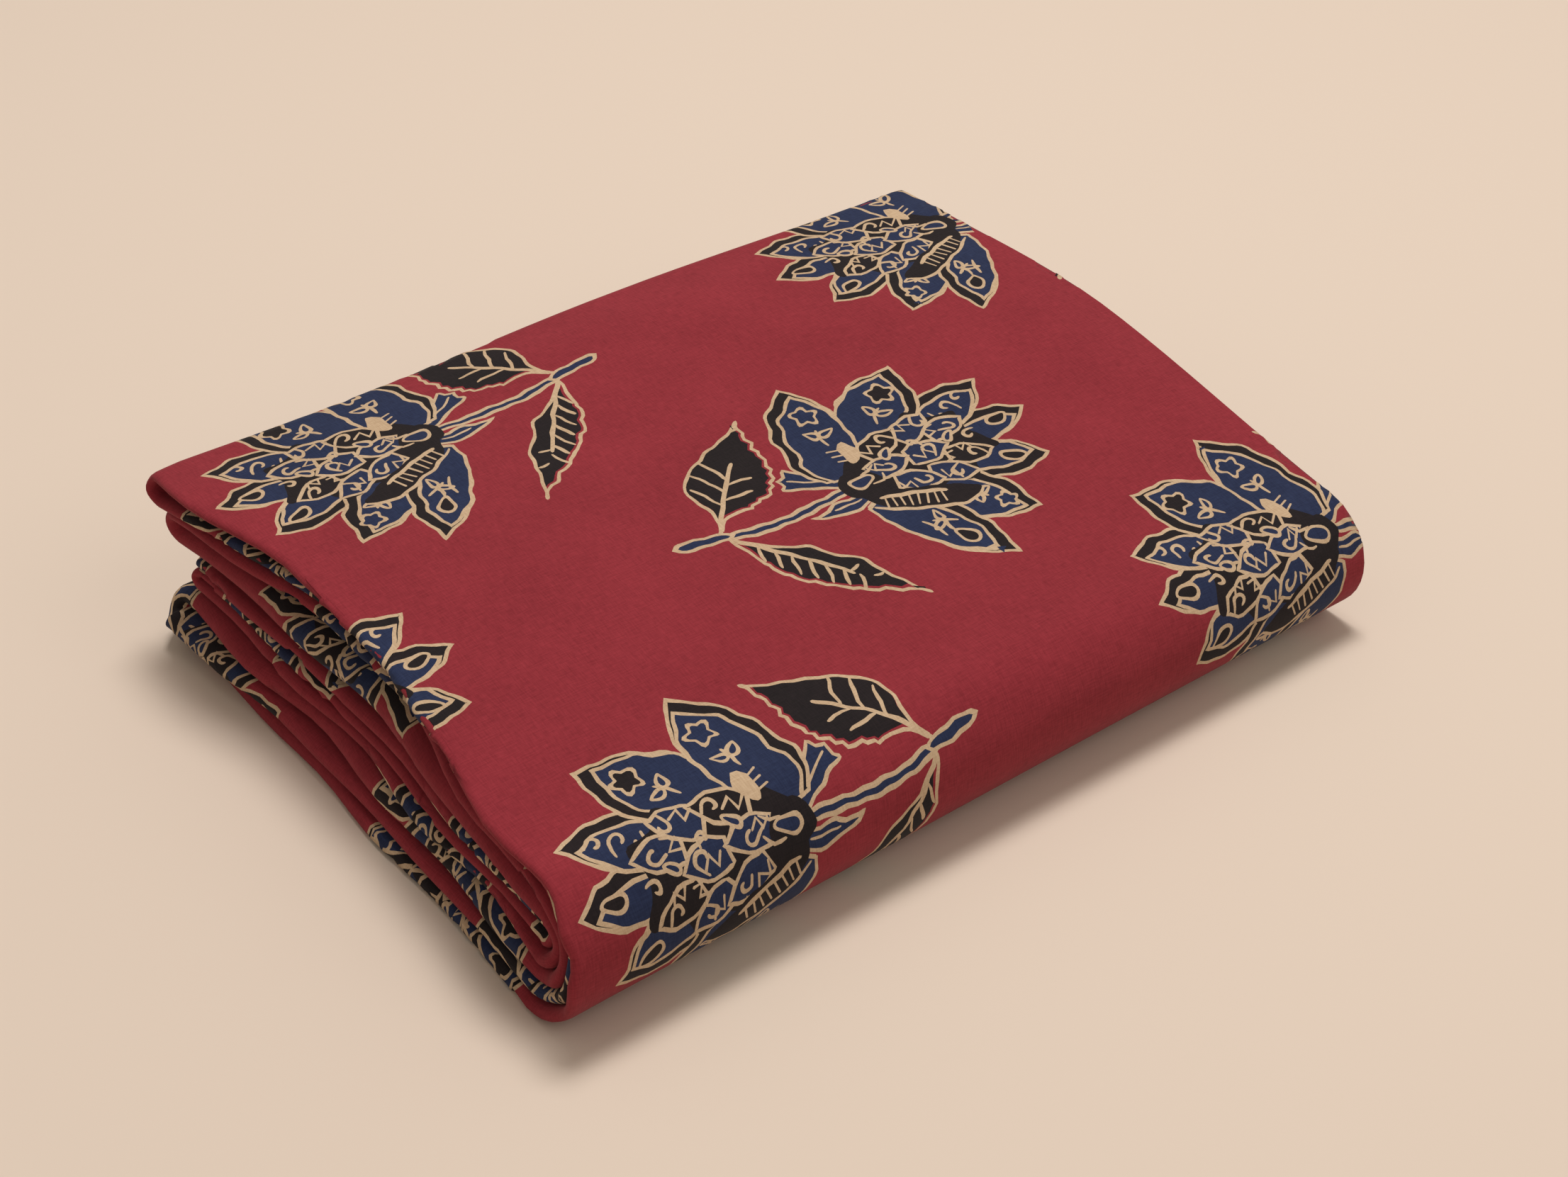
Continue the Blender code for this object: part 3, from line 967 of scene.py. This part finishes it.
# Plain-woven cotton: the cloth is matte, with a faint bloom of loose fibres at grazing
# angles, and its threads run a little thick and thin. Real threads are about 0.4 mm apart;
# they are drawn a little coarser, so that they show. Each dye lies a little unevenly, over
# about MOTTLE millimetres, and MOTTLE_SHARE is how much that counts beside the threads.
# LIGHTNESS is the range of both together that runs from the dark to the light colour.
THREAD_PITCH = 0.45
SLUB_LENGTH = 4.0
MOTTLE = 26.0
MOTTLE_SHARE = 0.6
LIGHTNESS = (0.85, 1.75)


def printed_cotton(name, hex_dark, hex_light):
    material = bpy.data.materials.new(name)
    material.use_nodes = True
    tree = material.node_tree
    shader = tree.nodes["Principled BSDF"]
    shader.inputs["Roughness"].default_value = 0.88
    shader.inputs["IOR"].default_value = 1.5
    shader.inputs["Specular IOR Level"].default_value = 0.18
    shader.inputs["Sheen Weight"].default_value = 0.04
    shader.inputs["Sheen Roughness"].default_value = 0.5

    uv = add_node(tree, "ShaderNodeUVMap", {"uv_map": "cloth"}).outputs["UV"]
    thread = 1 / (THREAD_PITCH * MILLIMETRE)
    slub = 1 / (SLUB_LENGTH * MILLIMETRE)
    threads = []
    for scale in ((thread, slub, 1.0), (slub, thread, 1.0)):
        spread = add_node(tree, "ShaderNodeVectorMath", {"operation": "MULTIPLY"}, {0: uv})
        spread.inputs[1].default_value = scale
        noise = add_node(
            tree, "ShaderNodeTexNoise", {"Scale": 1.0, "Detail": 2.0}, {"Vector": spread.outputs["Vector"]}
        )
        threads.append(noise.outputs["Fac"])
    woven = add_node(tree, "ShaderNodeMath", {"operation": "ADD"}, {0: threads[0], 1: threads[1]})
    mottle = add_node(
        tree, "ShaderNodeTexNoise", {"Scale": 1 / (MOTTLE * MILLIMETRE), "Detail": 3.0}, {"Vector": uv}
    )
    depth = add_node(
        tree,
        "ShaderNodeMath",
        {"operation": "MULTIPLY_ADD", 1: MOTTLE_SHARE},
        {0: mottle.outputs["Fac"], 2: woven.outputs[0]},
    )
    ramp = add_node(
        tree,
        "ShaderNodeMapRange",
        {"From Min": LIGHTNESS[0], "From Max": LIGHTNESS[1]},
        {"Value": depth.outputs[0]},
    )
    colour = add_node(tree, "ShaderNodeMix", {"data_type": "RGBA"}, {"Factor": ramp.outputs["Result"]})
    colour.inputs["A"].default_value = linear(hex_dark)
    colour.inputs["B"].default_value = linear(hex_light)
    tree.links.new(colour.outputs["Result"], shader.inputs["Base Color"])
    bump = add_node(
        tree, "ShaderNodeBump", {"Strength": 0.35, "Distance": 0.00012}, {"Height": woven.outputs[0]}
    )
    tree.links.new(bump.outputs["Normal"], shader.inputs["Normal"])
    return material


cloth.data.materials.append(printed_cotton("madder_red_cotton", "#762029", "#94303A"))
cloth.data.materials.append(printed_cotton("undyed_cotton", "#AA8F71", "#CCB495"))
cloth.data.materials.append(printed_cotton("indigo_blue_cotton", "#19213C", "#293453"))
cloth.data.materials.append(printed_cotton("iron_black_cotton", "#151113", "#241D1F"))

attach(cloth, "root")
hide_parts("folded_cloth")

# Floor
# A plain pale painted board under the cloth, wide enough to fill the view. It is there for
# the picture only and isn't part of the cloth.
bpy.ops.mesh.primitive_plane_add(size=8.0, location=(0.0, 0.0, 0.0))
floor = bpy.context.object
floor.name = "floor"
paint = bpy.data.materials.new("pale_paint")
paint.use_nodes = True
paint.node_tree.nodes["Principled BSDF"].inputs["Base Color"].default_value = linear("#D8C9BA")
paint.node_tree.nodes["Principled BSDF"].inputs["Roughness"].default_value = 0.75
floor.data.materials.append(paint)

# Light
# A large soft light overhead, a little to the back and right, a weaker one in front, and
# a warm pale surround.
LAMPS = [
    ("overhead", (0.45, 0.35, 2.2), 0.7, 36.0),
    ("front_fill", (0.6, -1.9, 1.9), 1.6, 10.0),
]
LAMP_TINT = (1.0, 0.955, 0.92)
LAMP_TARGET = Vector((0, 0, 0.03))
for name, place_at, size, power in LAMPS:
    lamp = bpy.data.lights.new(name, "AREA")
    lamp.size = size
    lamp.energy = power
    lamp.color = LAMP_TINT
    lamp_object = bpy.data.objects.new(name, lamp)
    lamp_object.location = place_at
    aim = LAMP_TARGET - Vector(place_at)
    lamp_object.rotation_euler = aim.to_track_quat("-Z", "Y").to_euler()
    bpy.context.scene.collection.objects.link(lamp_object)
surround = bpy.data.worlds.new("pale_surround")
surround.use_nodes = True
surround.node_tree.nodes["Background"].inputs["Color"].default_value = linear("#F3E6D8")
surround.node_tree.nodes["Background"].inputs["Strength"].default_value = 0.43
bpy.context.scene.world = surround
bpy.context.scene.view_settings.view_transform = "Standard"

# Camera
# At the photograph's viewing angle: from the left and in front, looking down at 36 degrees.
# Its place and lens were fitted to the packet's corners and outline in the photograph.
EYE = (-0.3937, -0.5259, 0.4879)
HEADING = math.radians(37.235)
PITCH = math.radians(35.607)
ROLL = math.radians(-0.14)
camera_data = bpy.data.cameras.new("view")
camera_data.lens = 60.27
camera_data.sensor_width = 36.0
camera_data.clip_start = 0.01
camera = bpy.data.objects.new("view", camera_data)
turn = Matrix.Rotation(-HEADING, 4, "Z") @ Matrix.Rotation(math.pi / 2 - PITCH, 4, "X")
camera.matrix_world = Matrix.Translation(EYE) @ turn @ Matrix.Rotation(ROLL, 4, "Z")
bpy.context.scene.collection.objects.link(camera)
bpy.context.scene.camera = camera
